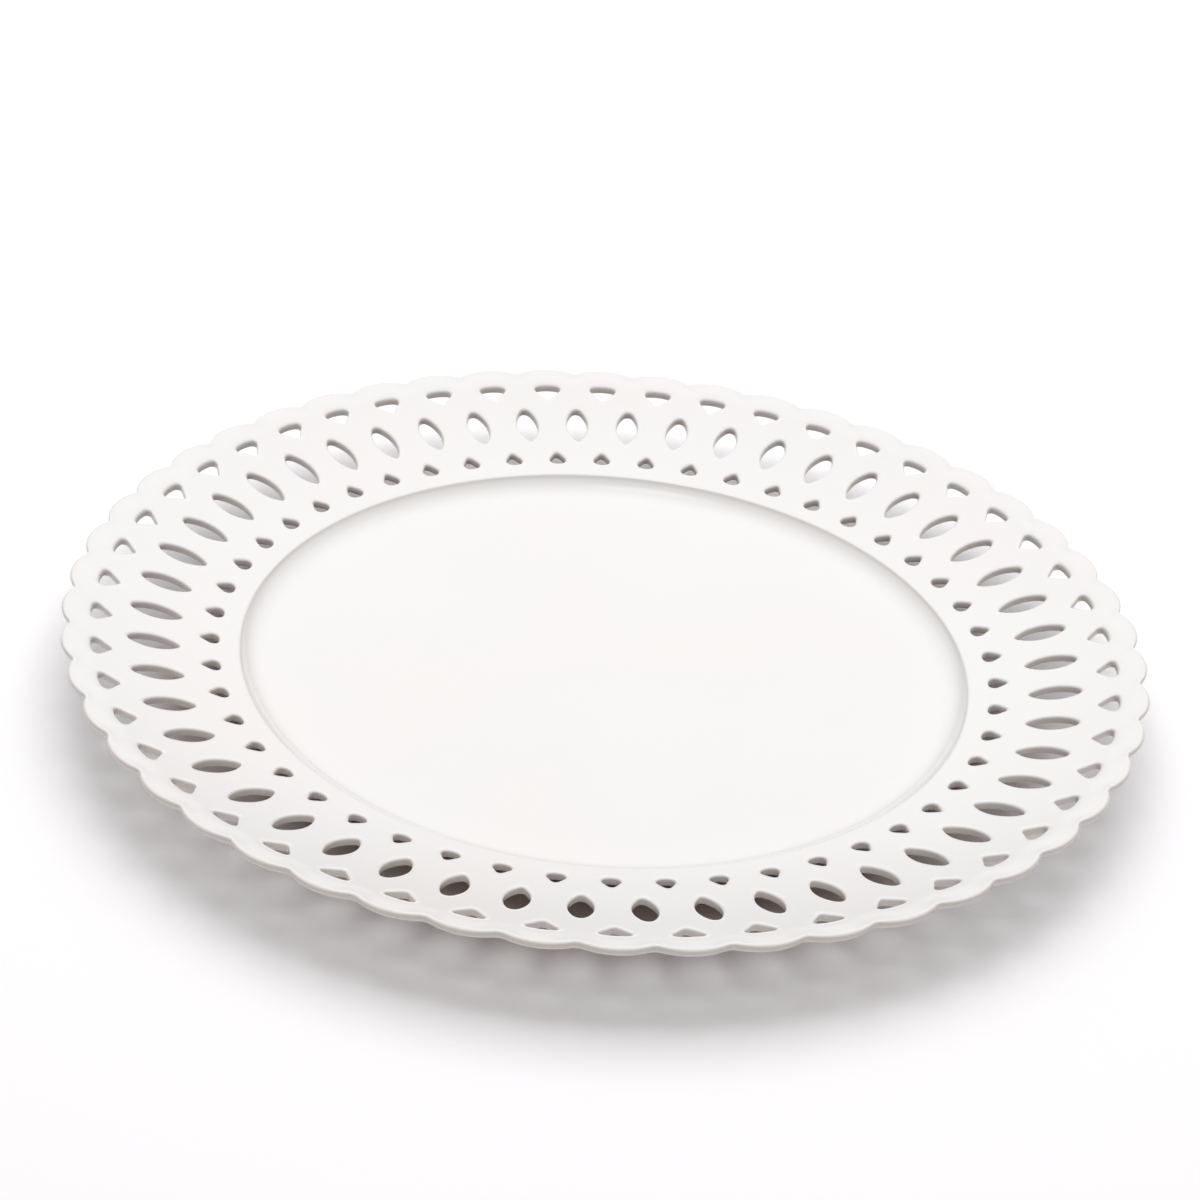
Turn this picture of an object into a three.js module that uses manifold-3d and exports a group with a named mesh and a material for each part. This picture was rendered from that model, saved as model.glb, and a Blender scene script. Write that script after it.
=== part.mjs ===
// Round plate in glazed ceramic: a flat well, a pierced lace rim and a scalloped edge, all one body.
// Millimetres, +Z up. The origin is the centre of the foot ring, on the plane that the plate rests on.
import * as THREE from "three";
import { mergeVertices } from "three/addons/utils/BufferGeometryUtils.js";
import Module from "manifold-3d";

const wasm = await Module();
wasm.setup();

// Overall sizes
const tipRadius = 150; // centre to the tips of the scallops
const height = 23.5; // resting plane to the top of the rim's edge
const rimWidth = 48.75; // lip of the well to the tips of the scallops

// Well, base and foot ring
const wellDepth = 4; // lip down to the floor
const wellWall = 8.75; // radial run of the hollow wall between lip and floor
const baseThickness = 4; // under the floor of the well
const footHeight = 3.5; // base down to the resting plane
const footWidth = 4; // resting face of the foot ring
const footTaper = 1; // how much each side of the foot ring widens upwards
const footSetIn = 9; // lip of the well to the outside of the resting face

// Rim
const rimThickness = 3.2; // measured upright
const rimBow = 1.2; // how far the rim hangs below a straight line from lip to edge
const edgeRound = 1.8; // level band along the scalloped edge

// Lace
const repeats = 50; // scallops, and openings in each of the three rows
const lobeRadius = 16.2; // arc of one scallop
const edgeBand = 7.6; // tips of the scallops to the outer openings
const outerLength = 6.2; // radial length of an outer opening
const outerGap = 4.05; // outer openings to the tips of the middle openings
const innerGap = 5.2; // middle openings to the points of the inner openings
const innerLength = 5.6; // radial length of an inner opening
const lipBand = 5.7; // inner openings to the lip of the well
const outerBar = 8.9; // clay left between outer openings, where they are widest
const middleBar = 8.7; // clay left between middle openings
const innerBar = 8.1; // clay left between inner openings

// Fineness of the facets
const turnsPerRepeat = 2; // straight steps of the round body in one repeat
const rimSteps = 3; // straight steps of the rim's curve from lip to edge
const wallSteps = 4; // straight steps of the well's hollow wall
const cutMargin = 1; // how far cutters and blanks run past what they cut

// Worked out from the sizes above
const lipRadius = tipRadius - rimWidth;
const floorRadius = lipRadius - wellWall;
const floorTop = footHeight + baseThickness;
const lipTop = floorTop + wellDepth;
const pitch = (2 * Math.PI) / repeats;
const rimEnd = tipRadius - edgeRound;
const outerFar = tipRadius - edgeBand;
const outerNear = outerFar - outerLength;
const middleFar = outerNear - outerGap;
const innerNear = lipRadius + lipBand;
const innerFar = innerNear + innerLength;
const middleNear = innerFar + innerGap;

// A closed three.js geometry as a manifold-3d solid.
function solidOf(geometry) {
  const bare = geometry.clone();
  bare.deleteAttribute("normal");
  bare.deleteAttribute("uv");
  const merged = mergeVertices(bare, 1e-4);
  const mesh = new wasm.Mesh({
    numProp: 3,
    vertProperties: merged.attributes.position.array,
    triVerts: new Uint32Array(merged.index.array),
  });
  return new wasm.Manifold(mesh);
}

// A manifold-3d solid as a three.js geometry.
function geometryOf(solid) {
  const mesh = solid.getMesh();
  const geometry = new THREE.BufferGeometry();
  geometry.setAttribute("position", new THREE.BufferAttribute(mesh.vertProperties, 3));
  geometry.setIndex(new THREE.BufferAttribute(mesh.triVerts, 1));
  geometry.computeVertexNormals();
  return geometry;
}

// Height of the rim's upper surface, a parabola from the lip to the level band at the edge.
function rimTop(radius) {
  const share = (radius - lipRadius) / (rimEnd - lipRadius);
  return lipTop + (height - lipTop) * share - 4 * rimBow * share * (1 - share);
}

// The hollow wall of the well: a quarter of an ellipse from the lip to the floor.
function wellWallPoints() {
  const points = [];
  for (let i = 1; i <= wallSteps; i++) {
    const angle = (i / wallSteps) * (Math.PI / 2);
    const radius = floorRadius + wellWall * Math.cos(angle);
    points.push(new THREE.Vector2(radius, lipTop - wellDepth * Math.sin(angle)));
  }
  return points;
}

// Radii at which the rim's profile takes a point.
function rimRadii() {
  const step = (rimEnd - lipRadius) / rimSteps;
  return Array.from({ length: rimSteps + 1 }, (_, i) => lipRadius + step * i);
}

// The turned body before it is pierced and scalloped, from the underside round to the well.
function turnedBody() {
  const footOuter = lipRadius - footSetIn;
  const footInner = footOuter - footWidth;
  const blankRadius = tipRadius + cutMargin;
  const radii = rimRadii();
  const profile = [
    new THREE.Vector2(0, footHeight),
    new THREE.Vector2(footInner - footTaper, footHeight),
    new THREE.Vector2(footInner, 0),
    new THREE.Vector2(footOuter, 0),
    new THREE.Vector2(footOuter + footTaper, footHeight),
    ...radii.map((radius) => new THREE.Vector2(radius, rimTop(radius) - rimThickness)),
    new THREE.Vector2(blankRadius, height - rimThickness),
    new THREE.Vector2(blankRadius, height),
    ...radii.reverse().map((radius) => new THREE.Vector2(radius, rimTop(radius))),
    ...wellWallPoints(),
    new THREE.Vector2(0, floorTop),
  ];
  const body = new THREE.LatheGeometry(profile, repeats * turnsPerRepeat);
  return solidOf(body.rotateX(Math.PI / 2));
}

// A flat outline made into an upright cutter that runs past both faces of the plate.
function cutter(outline, curveSegments) {
  const depth = height + 2 * cutMargin;
  const prism = new THREE.ExtrudeGeometry(outline, { depth, curveSegments, bevelEnabled: false });
  return prism.translate(0, 0, -cutMargin);
}

// The scalloped outline: one arc for each repeat, its tip half a pitch round from the X axis.
function scallopOutline() {
  const lobeCentre = tipRadius - lobeRadius;
  const reach = Math.sqrt(lobeRadius ** 2 - (lobeCentre * Math.sin(pitch / 2)) ** 2);
  const notchRadius = lobeCentre * Math.cos(pitch / 2) + reach;
  const halfArc = Math.asin((notchRadius * Math.sin(pitch / 2)) / lobeRadius);
  const outline = new THREE.Shape();
  for (let i = 0; i < repeats; i++) {
    const turn = (i + 0.5) * pitch;
    const x = lobeCentre * Math.cos(turn);
    const y = lobeCentre * Math.sin(turn);
    outline.absarc(x, y, lobeRadius, turn - halfArc, turn + halfArc);
  }
  return outline;
}

// Middle opening: two arcs that meet in a point at each end, its length along X.
function middleOutline() {
  const halfLength = (middleFar - middleNear) / 2;
  const centre = (middleFar + middleNear) / 2;
  const halfWidth = (centre * pitch - middleBar) / 2;
  const arcRadius = (halfLength ** 2 + halfWidth ** 2) / (2 * halfWidth);
  const arcCentre = arcRadius - halfWidth;
  const halfArc = Math.asin(halfLength / arcRadius);
  const outline = new THREE.Shape();
  outline.absarc(centre, -arcCentre, arcRadius, Math.PI / 2 - halfArc, Math.PI / 2 + halfArc);
  outline.absarc(centre, arcCentre, arcRadius, -Math.PI / 2 - halfArc, -Math.PI / 2 + halfArc);
  return outline;
}

// Outer opening: a shield with its point towards the well and a softly curved outer side.
function outerOutline() {
  const shoulder = outerFar - outerLength * 0.25;
  const halfWidth = (shoulder * pitch - outerBar) / 2;
  const outline = new THREE.Shape();
  outline.moveTo(outerNear, 0);
  outline.quadraticCurveTo(shoulder, -halfWidth * 0.85, shoulder, -halfWidth);
  outline.quadraticCurveTo(outerFar, -halfWidth * 0.9, outerFar, 0);
  outline.quadraticCurveTo(outerFar, halfWidth * 0.9, shoulder, halfWidth);
  outline.quadraticCurveTo(shoulder, halfWidth * 0.85, outerNear, 0);
  return outline;
}

// Inner opening: an acorn, round towards the well and pointed towards the middle openings.
function innerOutline() {
  const widest = innerNear + innerLength * 0.4;
  const halfWidth = (widest * pitch - innerBar) / 2;
  const outline = new THREE.Shape();
  outline.moveTo(innerNear, 0);
  outline.quadraticCurveTo(innerNear, halfWidth, widest, halfWidth);
  outline.quadraticCurveTo(innerFar - innerLength * 0.2, halfWidth * 0.7, innerFar, 0);
  outline.quadraticCurveTo(innerFar - innerLength * 0.2, -halfWidth * 0.7, widest, -halfWidth);
  outline.quadraticCurveTo(innerNear, -halfWidth, innerNear, 0);
  return outline;
}

// One row of cutters, the first of them turned by a share of the pitch from the X axis.
function rowOfCutters(outline, curveSegments, share) {
  const one = cutter(outline, curveSegments);
  return Array.from({ length: repeats }, (_, i) =>
    solidOf(one.clone().rotateZ((i + share) * pitch)),
  );
}

function plate() {
  const openings = [
    ...rowOfCutters(outerOutline(), 2, 0.5),
    ...rowOfCutters(middleOutline(), 3, 0),
    ...rowOfCutters(innerOutline(), 2, 0.5),
  ];
  const scalloped = turnedBody().intersect(solidOf(cutter(scallopOutline(), 3)));
  const pierced = scalloped.subtract(wasm.Manifold.union(openings));
  const glaze = new THREE.MeshStandardMaterial({ color: 0xfbf8f3, roughness: 0.12, metalness: 0 });
  const mesh = new THREE.Mesh(geometryOf(pierced), glaze);
  mesh.name = "plate";
  return mesh;
}

const lacePlate = new THREE.Group();
lacePlate.add(plate());

export default lacePlate;
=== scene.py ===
import bpy
from math import acos, atan2, cos, degrees, hypot, pi, radians, sin, sqrt
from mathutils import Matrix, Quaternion, Vector


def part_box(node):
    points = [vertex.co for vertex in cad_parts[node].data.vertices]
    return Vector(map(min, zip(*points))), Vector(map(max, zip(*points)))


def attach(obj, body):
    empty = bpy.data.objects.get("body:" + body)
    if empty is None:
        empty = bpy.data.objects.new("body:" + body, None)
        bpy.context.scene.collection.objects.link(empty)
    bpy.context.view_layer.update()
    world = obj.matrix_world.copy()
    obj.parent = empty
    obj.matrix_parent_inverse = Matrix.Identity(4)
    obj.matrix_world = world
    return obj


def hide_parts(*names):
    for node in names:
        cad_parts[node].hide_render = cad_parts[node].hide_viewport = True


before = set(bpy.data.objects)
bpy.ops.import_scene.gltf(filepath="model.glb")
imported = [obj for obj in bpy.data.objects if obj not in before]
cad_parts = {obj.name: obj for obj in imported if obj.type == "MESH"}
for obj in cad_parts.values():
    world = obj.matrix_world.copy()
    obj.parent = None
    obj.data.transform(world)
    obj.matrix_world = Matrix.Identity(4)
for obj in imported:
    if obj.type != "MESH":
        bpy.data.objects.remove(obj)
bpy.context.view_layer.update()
lowCorner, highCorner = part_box("plate")
mm = 0.001
tipRadius = (highCorner.y - lowCorner.y) / 2 / mm  # centre to the tips of the scallops
plateHeight = highCorner.z / mm

# Gaps, in millimetres, under which two spots count as one
touching = 0.02
touchingOnSpin = 0.005
touchingAtLip = 0.03


# Selecting and modes

def onlyThis(piece):
    bpy.ops.object.select_all(action="DESELECT")
    piece.select_set(True)
    bpy.context.view_layer.objects.active = piece


def editMode(selectAll=False):
    bpy.ops.object.mode_set(mode="EDIT")
    if selectAll:
        bpy.ops.mesh.select_all(action="SELECT")


def objectMode():
    bpy.ops.object.mode_set(mode="OBJECT")


# Selects what passes the test, and leaves the piece in edit mode
def pick(piece, kind, test):
    onlyThis(piece)
    editMode()
    bpy.ops.mesh.select_mode(type=kind)
    bpy.ops.mesh.select_all(action="DESELECT")
    objectMode()
    corners = piece.data.vertices
    if kind == "VERT":
        for corner in corners:
            corner.select = bool(test(corner.co / mm))
    if kind == "EDGE":
        for edge in piece.data.edges:
            edge.select = all(test(corners[i].co / mm) for i in edge.vertices)
    if kind == "FACE":
        for face in piece.data.polygons:
            face.select = all(test(corners[i].co / mm) for i in face.vertices)
    editMode()


def mergeDoubles(piece, gap=touching):
    onlyThis(piece)
    editMode(selectAll=True)
    bpy.ops.mesh.remove_doubles(threshold=gap * mm)
    objectMode()


def joinPieces(name, pieces):
    bpy.ops.object.select_all(action="DESELECT")
    for piece in pieces:
        piece.select_set(True)
    bpy.context.view_layer.objects.active = pieces[0]
    bpy.ops.object.join()
    pieces[0].name = name
    return pieces[0]


def applyModifiers(piece):
    onlyThis(piece)
    for modifier in list(piece.modifiers):
        bpy.ops.object.modifier_apply(modifier=modifier.name)


# Lines are drawn from one vertex: straight on, or swung round a centre

def startLine(name, across, out):
    bpy.ops.object.select_all(action="DESELECT")
    bpy.ops.mesh.primitive_plane_add(size=mm, location=(0, 0, 0))
    line = bpy.context.object
    line.name = name
    editMode()
    bpy.ops.mesh.select_mode(type="VERT")
    bpy.ops.mesh.select_all(action="SELECT")
    bpy.ops.mesh.merge(type="CENTER")
    bpy.ops.transform.translate(value=(across * mm, out * mm, 0))
    return line


def drawTo(across, out, steps=1):
    for _ in range(steps):
        stride = {"value": (across * mm / steps, out * mm / steps, 0)}
        bpy.ops.mesh.extrude_vertices_move(TRANSFORM_OT_translate=stride)


def swingRound(across, out, turn, steps):
    bpy.ops.mesh.spin(steps=steps, angle=-radians(turn), center=(across * mm, out * mm, 0), axis=(0, 0, 1))


# A taut string round pegs (across, out, radius, steps round it, steps to the next), from its lowest point.
def drawRoundPegs(pegs, side, leaveAt=90):
    angle = -90
    for i, (across, out, radius, roundSteps, onSteps) in enumerate(pegs):
        leave = leaveAt
        if i + 1 < len(pegs):
            nextAcross, nextOut, nextRadius = pegs[i + 1][:3]
            awayX, awayY = nextAcross - across, nextOut - out
            away = hypot(awayX, awayY)
            lean = acos(max(-1, min(1, (radius - nextRadius) / away)))
            leave = degrees(atan2(awayY, awayX) - lean)
        swingRound(side * across, out, side * (leave - angle), roundSteps)
        if i + 1 < len(pegs) and onSteps:
            wider = nextRadius - radius
            stride = (awayX + wider * cos(radians(leave)), awayY + wider * sin(radians(leave)))
            drawTo(side * stride[0], stride[1], onSteps)
        angle = leave


# The lace: half of one repeat is drawn flat, between the line of a scallop's tip and the line of a notch

lace = {
    "repeats": 50,
    "lobeRadius": 16.2,  # arc of one scallop
    "sheetStart": 102.75,  # where the lace meets the lip of the well
    "collar": 1.65,  # ring of clay kept round each opening
    "cornerRadius": 0.8,
    "innerNear": 107.3, "innerFar": 112.3, "innerWidth": 4.8, "innerShoulder": 1.5, "innerBase": 4.0,
    "middleNear": 118.0, "middleFar": 132.0, "middleWidth": 6.4, "middleFarRadius": 1.5,
    "outerNear": 136.5, "outerFar": 142.0, "outerWidth": 8.0, "outerShoulder": 1.0, "outerBase": 14.0,
    "bandStart": 141.7,  # where the band along the edge begins, on the notch line
    "bandMargin": 0.5,  # how far inside that the band's own lines may run
    "bandRows": 3,
    "shoulderSplit": 12,  # degrees round the outer shoulder where that band begins
    "notchRound": 1.8,  # the glaze fills each notch to this radius
    "edgeRound": 1.3, "edgeSegments": 5,
    "openingRound": 0.8, "openingSegments": 3,
    "sharpAngle": 70,  # edges that turn more than this are softened
    "groove": 0.45,  # how far the band sinks beside the rolled edge
    "grooveStart": 140,
    "grooveInner": -2.6, "grooveOuter": -1.2,  # its two sides, counted from the lobe's arc
    "thickness": 2.6,
    "columns": 3,
    "scallopSteps": 8,
    "startMargin": 0.01,  # how far past the sheet's start its first row of points may lie
    "mostSides": 60,  # no opening has more
    "fitRounds": 12,
}
halfPitch = 180 / lace["repeats"]

# A line past an opening takes as many steps as the way round it, so that the two lines can be bridged
lineSteps = {"lip": 2, "inner": 12, "innerToMiddle": 2, "middle": 16, "middleToOuter": 1, "outer": 8}


def withCollar(pegs):
    return [(across, out, radius + lace["collar"], *steps) for across, out, radius, *steps in pegs]


def innerPegs():
    shoulder, base, corner = lace["innerShoulder"], lace["innerBase"], lace["cornerRadius"]
    across = lace["innerWidth"] / 2 - shoulder
    baseOut = lace["innerNear"] + base
    out = baseOut - sqrt((base - shoulder) ** 2 - across ** 2)
    return withCollar([(0, baseOut, base, 2, 0), (across, out, shoulder, 5, 3),
                       (0, lace["innerFar"] - corner, corner, 2, 0)])


def middlePegs():
    inner, outer, halfWidth = lace["cornerRadius"], lace["middleFarRadius"], lace["middleWidth"] / 2
    innerOut, outerOut = lace["middleNear"] + inner, lace["middleFar"] - outer
    centre = (innerOut + outerOut) / 2
    # the long side touches both end rounds, so its centre is closed in on
    for _ in range(lace["fitRounds"]):
        side = (halfWidth ** 2 + (centre - innerOut) ** 2 - inner ** 2) / (2 * (halfWidth - inner))
        ends = outerOut ** 2 - innerOut ** 2 - outer ** 2 + inner ** 2
        centre = (ends + 2 * side * (outer - inner)) / (2 * (outerOut - innerOut))
    return withCollar([(0, innerOut, inner, 2, 0), (halfWidth - side, centre, side, 12, 0),
                       (0, outerOut, outer, 2, 0)])


def outerPegs():
    shoulder, base, corner = lace["outerShoulder"], lace["outerBase"], lace["cornerRadius"]
    across = lace["outerWidth"] / 2 - shoulder
    baseOut = lace["outerFar"] - base
    out = baseOut + sqrt((base - shoulder) ** 2 - across ** 2)
    return withCollar([(0, lace["outerNear"] + corner, corner, 2, 4), (across, out, shoulder, 2, 0),
                       (0, baseOut, base, 3, 0)])


def tipLine():
    line = startLine("tipLine", 0, lace["sheetStart"])
    collar = lace["collar"]
    drawTo(0, lace["innerNear"] - collar - lace["sheetStart"], lineSteps["lip"])
    drawRoundPegs(innerPegs(), 1)
    drawTo(0, lace["middleNear"] - lace["innerFar"] - 2 * collar, lineSteps["innerToMiddle"])
    drawTo(0, lace["middleFar"] - lace["middleNear"] + 2 * collar, lineSteps["middle"])
    drawTo(0, lace["outerNear"] - lace["middleFar"] - 2 * collar, lineSteps["middleToOuter"])
    drawRoundPegs(outerPegs()[:2], 1, leaveAt=lace["shoulderSplit"])
    objectMode()
    return line


def notchLine():
    line = startLine("notchLine", 0, lace["sheetStart"])
    collar = lace["collar"]
    drawTo(0, lace["innerNear"] - collar - lace["sheetStart"], lineSteps["lip"])
    drawTo(0, lace["innerFar"] - lace["innerNear"] + 2 * collar, lineSteps["inner"])
    drawTo(0, lace["middleNear"] - lace["innerFar"] - 2 * collar, lineSteps["innerToMiddle"])
    drawRoundPegs(middlePegs(), -1)
    drawTo(0, lace["outerNear"] - lace["middleFar"] - 2 * collar, lineSteps["middleToOuter"])
    drawTo(0, lace["bandStart"] - lace["outerNear"] + collar, lineSteps["outer"])
    editMode(selectAll=True)
    bpy.ops.transform.rotate(value=radians(halfPitch), orient_axis="Z", center_override=(0, 0, 0))
    objectMode()
    return line


# Centre of the round that fills a notch
def notchCentre():
    lobeOut = tipRadius - lace["lobeRadius"]
    reach = lace["lobeRadius"] + lace["notchRound"]
    out = lobeOut * cos(radians(halfPitch)) + sqrt(reach ** 2 - (lobeOut * sin(radians(halfPitch))) ** 2)
    return out * sin(radians(halfPitch)), out * cos(radians(halfPitch))


# The scallop's edge, from its tip to the notch, and the top of the outer opening below it
def edgeLines():
    lobeOut = tipRadius - lace["lobeRadius"]
    across, out = notchCentre()
    turn = degrees(atan2(across, out - lobeOut))
    scallop = startLine("scallop", 0, tipRadius)
    swingRound(0, lobeOut, -turn, lace["scallopSteps"] - 2)
    swingRound(across, out, turn - halfPitch, 2)
    objectMode()
    _, (across, out, shoulder, _, _), (_, baseOut, base, _, _) = outerPegs()
    meet = degrees(atan2(out - baseOut, across))
    openingTop = startLine("openingTop", 0, baseOut + base)
    swingRound(0, baseOut, meet - 90, 3)
    swingRound(across, out, lace["shoulderSplit"] - meet, 2)
    objectMode()
    return scallop, openingTop


def flatLace():
    sheet = joinPieces("lacePlate", [tipLine(), notchLine()])
    editMode()
    bpy.ops.mesh.select_mode(type="EDGE")
    bpy.ops.mesh.select_all(action="SELECT")
    bpy.ops.mesh.bridge_edge_loops(number_cuts=lace["columns"] - 1, interpolation="LINEAR")
    objectMode()
    sheet = joinPieces("lacePlate", [sheet, *edgeLines()])
    mergeDoubles(sheet)
    pick(sheet, "EDGE", lambda spot: spot.length > lace["bandStart"] - lace["bandMargin"])
    bpy.ops.mesh.bridge_edge_loops(number_cuts=lace["bandRows"] - 1, interpolation="LINEAR")
    objectMode()
    return sheet


# One repeat, copied round the plate, with the openings' collars set in
def wholeLace(sheet):
    onlyThis(sheet)
    mirror = sheet.modifiers.new("otherHalf", "MIRROR")
    mirror.merge_threshold = touching * mm
    bpy.ops.object.empty_add(location=(0, 0, 0), rotation=(0, 0, radians(2 * halfPitch)))
    stepRound = bpy.context.object
    ring = sheet.modifiers.new("ring", "ARRAY")
    ring.count = lace["repeats"]
    ring.use_relative_offset = False
    ring.use_object_offset = True
    ring.offset_object = stepRound
    applyModifiers(sheet)
    bpy.data.objects.remove(stepRound)
    mergeDoubles(sheet)
    editMode(selectAll=True)
    bpy.ops.mesh.normals_make_consistent(inside=False)
    bpy.ops.mesh.fill_holes(sides=lace["mostSides"])
    bpy.ops.mesh.select_mode(type="FACE")
    bpy.ops.mesh.select_face_by_sides(number=4, type="GREATER", extend=False)
    bpy.ops.mesh.inset(thickness=lace["collar"] * mm, depth=0, use_individual=True)
    bpy.ops.mesh.delete(type="FACE")
    objectMode()
    pick(sheet, "VERT", lambda spot: spot.length < lace["sheetStart"] + lace["startMargin"])
    bpy.ops.transform.tosphere(value=1)
    objectMode()


rim = {
    "lip": 101.25, "lipHeight": 11.5,
    "edge": 148.2,
    "bow": 1.2,  # how far it hangs below a straight line from lip to edge
    "guideStart": 100, "guideEnd": 152, "guideSteps": 300,
}


# Height of the rim's upper face
def rimHeight(out):
    share = (out - rim["lip"]) / (rim["edge"] - rim["lip"])
    rise = plateHeight - rim["lipHeight"]
    curve = rim["lipHeight"] + rise * share - 4 * rim["bow"] * share * (1 - share)
    return min(curve, plateHeight)


def spinRound(line, steps):
    onlyThis(line)
    line.rotation_euler = (radians(90), 0, 0)
    bpy.ops.object.transform_apply(rotation=True)
    editMode(selectAll=True)
    bpy.ops.mesh.spin(steps=steps, angle=2 * pi, center=(0, 0, 0), axis=(0, 0, 1))
    objectMode()
    mergeDoubles(line, touchingOnSpin)


# Where a spot lies in its own repeat: across, out, and how far outside the lobe's arc
def scallopPlace(spot):
    pitch = radians(2 * halfPitch)
    turn = round(atan2(spot.x, spot.y) / pitch) * pitch
    across = abs(spot.x * cos(turn) - spot.y * sin(turn))
    out = spot.x * sin(turn) + spot.y * cos(turn)
    return across, out, hypot(across, out - tipRadius + lace["lobeRadius"]) - lace["lobeRadius"]


def onScallop(spot):
    across, out, fromLobe = scallopPlace(spot)
    notchAcross, notchOut = notchCentre()
    fromNotch = hypot(across - notchAcross, out - notchOut) - lace["notchRound"]
    return abs(fromLobe) < touching or abs(fromNotch) < touching


def besideEdge(spot):
    _, out, fromLobe = scallopPlace(spot)
    return out > lace["grooveStart"] and lace["grooveInner"] < fromLobe < lace["grooveOuter"]


# The lace is laid on the rim's curve, then given its thickness
def raisedLace(sheet):
    guide = startLine("rimGuide", rim["guideStart"], rimHeight(rim["guideStart"]))
    for out in range(rim["guideStart"], rim["guideEnd"]):
        drawTo(1, rimHeight(out + 1) - rimHeight(out))
    objectMode()
    spinRound(guide, rim["guideSteps"])
    onlyThis(sheet)
    laid = sheet.modifiers.new("laidOnRim", "SHRINKWRAP")
    laid.target = guide
    laid.wrap_method = "PROJECT"
    laid.use_project_z = True
    laid.use_positive_direction = True
    laid.use_negative_direction = True
    applyModifiers(sheet)
    bpy.data.objects.remove(guide)
    pick(sheet, "VERT", besideEdge)
    bpy.ops.transform.translate(value=(0, 0, -lace["groove"] * mm))
    editMode(selectAll=True)
    down = {"value": (0, 0, -lace["thickness"] * mm)}
    bpy.ops.mesh.extrude_region_move(TRANSFORM_OT_translate=down)
    objectMode()


# The edge is rolled over, full round between the two faces
def rolledEdge(sheet):
    pick(sheet, "FACE", onScallop)
    bpy.ops.mesh.select_mode(type="EDGE")
    bpy.ops.mesh.region_to_loop()
    bpy.ops.mesh.bevel(offset=lace["edgeRound"] * mm, segments=lace["edgeSegments"], affect="EDGES",
                       clamp_overlap=False)
    objectMode()


well = {
    "steps": 300,
    "lipRound": 1.0, "lipSteps": 5,
    "lipTurn": 62,  # degrees that the lip turns down into the well
    "hollow": 3.0,  # how soon the wall runs out into the floor
    "floorRadius": 92.5,
    "floorHeight": 7.5,
    "wallSteps": 12,
    "floorRings": [88, 80, 66, 46, 24, 8, 0],
    "foot": [(101.0, 8.2), (99.2, 7.35), (95.4, 4.75), (94.2, 3.75), (93.5, 2.6), (92.9, 1.2), (92.35, 0.35),
             (91.7, 0.04), (91.2, 0), (89.4, 0), (88.8, 0.05), (88.25, 0.4), (87.9, 1.2), (87.3, 2.5),
             (86.4, 3.3), (85.2, 3.5), (60, 3.5), (30, 3.5), (8, 3.5), (0, 3.5)],
}


def drawThrough(begin, points):
    here = begin
    for point in points:
        drawTo(point[0] - here[0], point[1] - here[1])
        here = point


# The well's upper face and the underside with its foot ring, spun from two lines
def wellAndFoot():
    lip, radius = rim["lip"], well["lipRound"]
    floorRadius, floorHeight = well["floorRadius"], well["floorHeight"]
    begin = (lace["sheetStart"], rimHeight(lace["sheetStart"]))
    top = startLine("wellTop", *begin)
    lean = atan2(rimHeight(lip + 1) - rimHeight(lip), 1)
    centreUp = rimHeight(lip + radius) - radius / cos(lean)
    contact = (lip + radius - radius * sin(lean), centreUp + radius * cos(lean))
    drawThrough(begin, [contact])
    swingRound(lip + radius, centreUp, well["lipTurn"], well["lipSteps"])
    lastTurn = radians(90 + degrees(lean) + well["lipTurn"])
    wallTop = (lip + radius + radius * cos(lastTurn), centreUp + radius * sin(lastTurn))
    hollow = [(floorRadius + (wallTop[0] - floorRadius) * (1 - i / well["wallSteps"]),
               floorHeight + (wallTop[1] - floorHeight) * (1 - i / well["wallSteps"]) ** well["hollow"])
              for i in range(1, well["wallSteps"] + 1)]
    drawThrough(wallTop, hollow + [(ring, floorHeight) for ring in well["floorRings"]])
    objectMode()
    begin = (begin[0], begin[1] - lace["thickness"])
    under = startLine("underside", *begin)
    drawThrough(begin, well["foot"])
    objectMode()
    body = joinPieces("wellBody", [top, under])
    spinRound(body, well["steps"])
    return body


# The well and foot take the place of the wall that the lace has at its inner edge
def closedPlate(sheet):
    pick(sheet, "FACE", lambda spot: spot.xy.length < lace["sheetStart"] + lace["startMargin"])
    bpy.ops.mesh.delete(type="FACE")
    objectMode()
    plate = joinPieces("lacePlate", [sheet, wellAndFoot()])
    mergeDoubles(plate, touchingAtLip)
    editMode(selectAll=True)
    bpy.ops.mesh.normals_make_consistent(inside=False)
    objectMode()
    return plate


def softOpenings(plate):
    onlyThis(plate)
    soft = plate.modifiers.new("softEdges", "BEVEL")
    soft.width = lace["openingRound"] * mm
    soft.segments = lace["openingSegments"]
    soft.limit_method = "ANGLE"
    soft.angle_limit = radians(lace["sharpAngle"])
    soft.use_clamp_overlap = False
    applyModifiers(plate)
    bpy.ops.object.shade_smooth()


plate = flatLace()
wholeLace(plate)
print("lace drawn and copied round", len(plate.data.vertices), "points")
raisedLace(plate)
print("laid on the rim")
rolledEdge(plate)
print("edge rolled")
plate = closedPlate(plate)
print("well and foot joined on")
softOpenings(plate)
print("openings softened", len(plate.data.vertices), "points")


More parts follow.
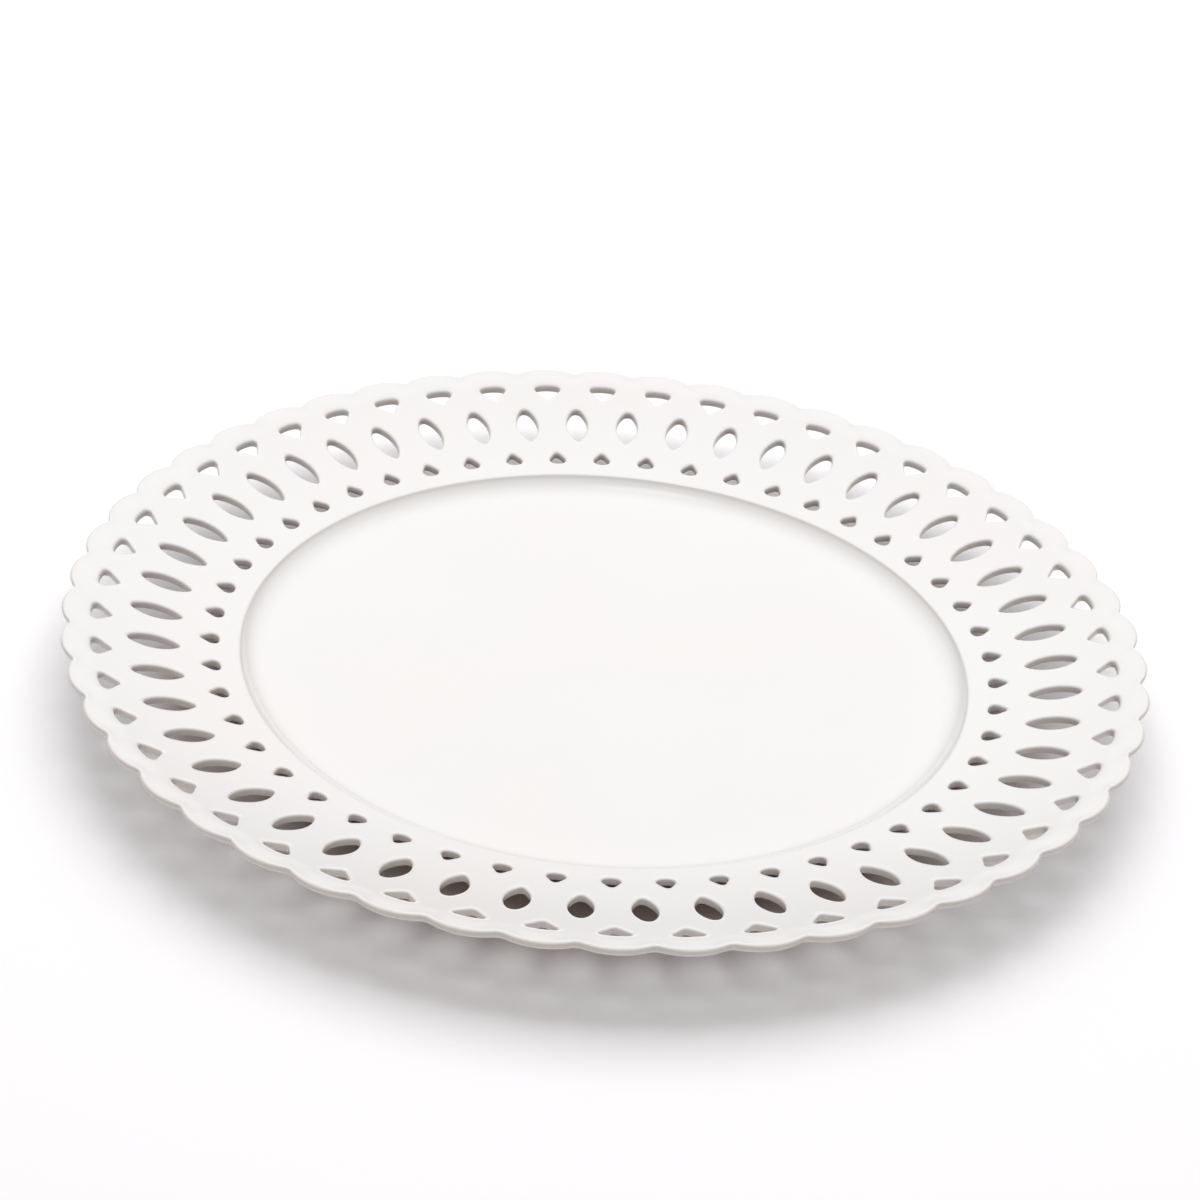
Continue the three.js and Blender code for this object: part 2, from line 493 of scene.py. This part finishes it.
glaze = {
    "white": (0.825, 0.808, 0.797, 1),
    "coolWhite": (0.818, 0.82, 0.81, 1),
    "thinOnEdge": (0.8, 0.775, 0.74, 1),
    # painted shade on steep walls, darker and warmer than the glaze
    "paintedWallShade": (0.63, 0.595, 0.56, 1),
    "bareClay": (0.66, 0.6, 0.52, 1),
    "roughness": (0.07, 0.13),
    "bareRoughness": 0.75,
    "ior": 1.5,
    "poolScale": 14.0, "poolSpan": (0.38, 0.62), "shineSpan": (0.35, 0.65),
    "edgeSpan": (0.1475, 0.15),  # radii over which it thins on the edge, in metres
    "paintedWallShadeSpan": (0.85, 0.2),  # upward part of the normal over which the painted wall shade sets in
    "bareSpan": (0.0005, 0.0002),  # heights over which the foot is bare, in metres
    "wave": 0.00025,  # how deep the slow waves are, in metres
    "waveScale": 42.0, "waveStrength": 0.35,
}


def makeNode(tree, kind, values=None, **settings):
    node = tree.nodes.new("ShaderNode" + kind)
    for name, value in settings.items():
        setattr(node, name, value)
    for name, value in (values or {}).items():
        node.inputs[name].default_value = value
    return node


def blend(tree, factor, low, high):
    mix = makeNode(tree, "Mix", data_type="RGBA")
    tree.links.new(factor, mix.inputs["Factor"])
    for socket, colour in ((mix.inputs["A"], low), (mix.inputs["B"], high)):
        if isinstance(colour, tuple):
            socket.default_value = colour
        else:
            tree.links.new(colour, socket)
    return mix.outputs["Result"]


def ramp(tree, value, low, high, toLow=0, toHigh=1):
    span = makeNode(tree, "MapRange", {"From Min": low, "From Max": high, "To Min": toLow, "To Max": toHigh})
    tree.links.new(value, span.inputs["Value"])
    return span.outputs["Result"]


# The same from 0 to 1, with soft ends
def easedRamp(tree, value, low, high):
    span = makeNode(tree, "MapRange", {"From Min": low, "From Max": high}, interpolation_type="SMOOTHSTEP")
    tree.links.new(value, span.inputs["Value"])
    return span.outputs["Result"]


def glazeMaterial():
    material = bpy.data.materials.new("whiteGlaze")
    material.use_nodes = True
    tree = material.node_tree
    links = tree.links
    shader = tree.nodes["Principled BSDF"]
    shader.inputs["IOR"].default_value = glaze["ior"]
    source = makeNode(tree, "TexCoord")
    place = source.outputs["Object"]
    apart = makeNode(tree, "SeparateXYZ")
    links.new(place, apart.inputs["Vector"])
    flat = makeNode(tree, "CombineXYZ")
    links.new(apart.outputs["X"], flat.inputs["X"])
    links.new(apart.outputs["Y"], flat.inputs["Y"])
    reach = makeNode(tree, "VectorMath", operation="LENGTH")
    links.new(flat.outputs["Vector"], reach.inputs[0])

    # slow drift between warm and cool white, as the glaze pools
    pool = makeNode(tree, "TexNoise", {"Scale": glaze["poolScale"], "Detail": 3.0, "Roughness": 0.5})
    links.new(place, pool.inputs["Vector"])
    drift = ramp(tree, pool.outputs["Fac"], *glaze["poolSpan"])
    colour = blend(tree, drift, glaze["white"], glaze["coolWhite"])
    # thinner and warmer where it runs off the rolled edge
    onEdge = ramp(tree, reach.outputs["Value"], *glaze["edgeSpan"])
    colour = blend(tree, onEdge, colour, glaze["thinOnEdge"])
    # painted shade: steep faces, the walls of the openings and of the well, are coloured darker and warmer
    facing = makeNode(tree, "SeparateXYZ")
    links.new(source.outputs["Normal"], facing.inputs["Vector"])
    upright = makeNode(tree, "Math", operation="ABSOLUTE")
    links.new(facing.outputs["Z"], upright.inputs[0])
    paintedWallShadeMask = ramp(tree, upright.outputs["Value"], *glaze["paintedWallShadeSpan"])
    colour = blend(tree, paintedWallShadeMask, colour, glaze["paintedWallShade"])
    # the foot's resting face is wiped clean of glaze
    bare = ramp(tree, apart.outputs["Z"], *glaze["bareSpan"])
    colour = blend(tree, bare, colour, glaze["bareClay"])
    links.new(colour, shader.inputs["Base Color"])

    shine = ramp(tree, pool.outputs["Fac"], *glaze["shineSpan"], *glaze["roughness"])
    rough = makeNode(tree, "Mix", {"B": glaze["bareRoughness"]})
    links.new(bare, rough.inputs["Factor"])
    links.new(shine, rough.inputs["A"])
    links.new(rough.outputs["Result"], shader.inputs["Roughness"])

    # slow waves in the surface, as the glaze settles
    wave = makeNode(tree, "TexNoise", {"Scale": glaze["waveScale"], "Detail": 1.0, "Roughness": 0.4})
    links.new(place, wave.inputs["Vector"])
    waves = makeNode(tree, "Bump", {"Strength": glaze["waveStrength"], "Distance": glaze["wave"]})
    links.new(wave.outputs["Fac"], waves.inputs["Height"])
    links.new(waves.outputs["Normal"], shader.inputs["Normal"])
    return material


plate.data.materials.clear()
plate.data.materials.append(glazeMaterial())
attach(plate, "root")
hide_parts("plate")
print("glazed")


studio = {
    "paperColour": (0.9, 0.895, 0.905, 1),
    "paperRoughness": 0.9, "paperShine": 0.1,
    "paintedShadowUnderPlate": (0.19, 0.085, 0.045, 1),  # painted shadow: the paper's colour under the plate, where little light reaches
    "paintedShadowSpan": (0.14, 0.1),  # radii over which the painted shadow sets in, in metres
    "paintedShadowHeld": (0.62, 0.92),  # how much of the painted shadow is seen, and how much counts for bounced light
    "paintedShadowAhead": 0.002,
    "floorSize": 8,
    "skyLow": (0.13, 0.112, 0.102, 1),
    "skyHigh": (1.0, 0.965, 0.955, 1),
    "skySpan": (0.1, 0.55),
    "backdrop": (1.4, 1.4, 1.4, 1),  # what the camera sees in the sky's place
    "skyStrength": 0.71,
    "overheadPlace": (0.03, 0.36, 1.21),
    "overheadSize": 1.15, "overheadPower": 10.6,
    "overheadColour": (0.975, 1, 1.02),
    "sparklePlace": (-0.1, -0.05, 1.2),
    "sparkleSize": 0.35, "sparklePower": 0.6,
    "sparkleColour": (1, 1, 1),
    "lens": 89.56, "sensorWidth": 36,
    "cameraPlace": (-0.0419, -0.70635, 0.45448),
    "cameraTarget": (-0.001746, 0.019281, 0.01637),
    "roll": 4.978,  # degrees
}


def softBox(name, seenInGlaze):
    place = studio[name + "Place"]
    bpy.ops.object.light_add(type="AREA", location=place)
    box = bpy.context.object
    box.name = name
    box.rotation_euler = (-Vector(place)).to_track_quat("-Z", "Y").to_euler()
    box.data.size = studio[name + "Size"]
    box.data.energy = studio[name + "Power"]
    box.data.color = studio[name + "Colour"]
    box.visible_glossy = seenInGlaze


def paperWithPaintedShadow():
    paper = bpy.data.materials.new("paperWithPaintedShadow")
    paper.use_nodes = True
    tree = paper.node_tree
    shader = tree.nodes["Principled BSDF"]
    shader.inputs["Roughness"].default_value = studio["paperRoughness"]
    shader.inputs["Specular IOR Level"].default_value = studio["paperShine"]
    place = makeNode(tree, "TexCoord")
    reach = makeNode(tree, "VectorMath", operation="LENGTH")
    path = makeNode(tree, "LightPath")
    paintedShadowMask = makeNode(tree, "Math", operation="MULTIPLY")
    ahead = makeNode(tree, "VectorMath", operation="ADD")
    ahead.inputs[1].default_value = (0, studio["paintedShadowAhead"], 0)
    tree.links.new(place.outputs["Object"], ahead.inputs[0])
    tree.links.new(ahead.outputs["Vector"], reach.inputs[0])
    # painted shadow: a soft radial mask, centred just in front of the plate's centre, darkens the paper
    # under the plate
    tree.links.new(easedRamp(tree, reach.outputs["Value"], *studio["paintedShadowSpan"]), paintedShadowMask.inputs[0])
    bounced = ramp(tree, path.outputs["Is Diffuse Ray"], 0, 1, *studio["paintedShadowHeld"])
    tree.links.new(bounced, paintedShadowMask.inputs[1])
    colour = blend(tree, paintedShadowMask.outputs["Value"], studio["paperColour"], studio["paintedShadowUnderPlate"])
    tree.links.new(colour, shader.inputs["Base Color"])
    return paper


def studioSky():
    sky = bpy.data.worlds.new("studioSky")
    sky.use_nodes = True
    tree = sky.node_tree
    air = tree.nodes["Background"]
    air.inputs["Strength"].default_value = studio["skyStrength"]
    place = makeNode(tree, "TexCoord")
    split = makeNode(tree, "SeparateXYZ")
    tree.links.new(place.outputs["Generated"], split.inputs["Vector"])
    rise = easedRamp(tree, split.outputs["Z"], *studio["skySpan"])
    light = blend(tree, rise, studio["skyLow"], studio["skyHigh"])
    seen = makeNode(tree, "LightPath").outputs["Is Camera Ray"]
    tree.links.new(blend(tree, seen, light, studio["backdrop"]), air.inputs["Color"])
    return sky


def makeStudio():
    bpy.ops.mesh.primitive_plane_add(size=studio["floorSize"], location=(0, 0, 0))
    floor = bpy.context.object
    floor.name = "floor"
    floor.data.materials.append(paperWithPaintedShadow())
    bpy.context.scene.world = studioSky()
    softBox("overhead", seenInGlaze=False)
    softBox("sparkle", seenInGlaze=True)
    bpy.ops.object.camera_add(location=studio["cameraPlace"])
    camera = bpy.context.object
    camera.name = "camera"
    aim = (Vector(studio["cameraTarget"]) - Vector(studio["cameraPlace"])).to_track_quat("-Z", "Y")
    camera.rotation_mode = "QUATERNION"
    camera.rotation_quaternion = aim @ Quaternion((0, 0, 1), radians(studio["roll"]))
    camera.data.sensor_width = studio["sensorWidth"]
    camera.data.lens = studio["lens"]
    bpy.context.scene.camera = camera
    bpy.context.scene.view_settings.view_transform = "Standard"


makeStudio()
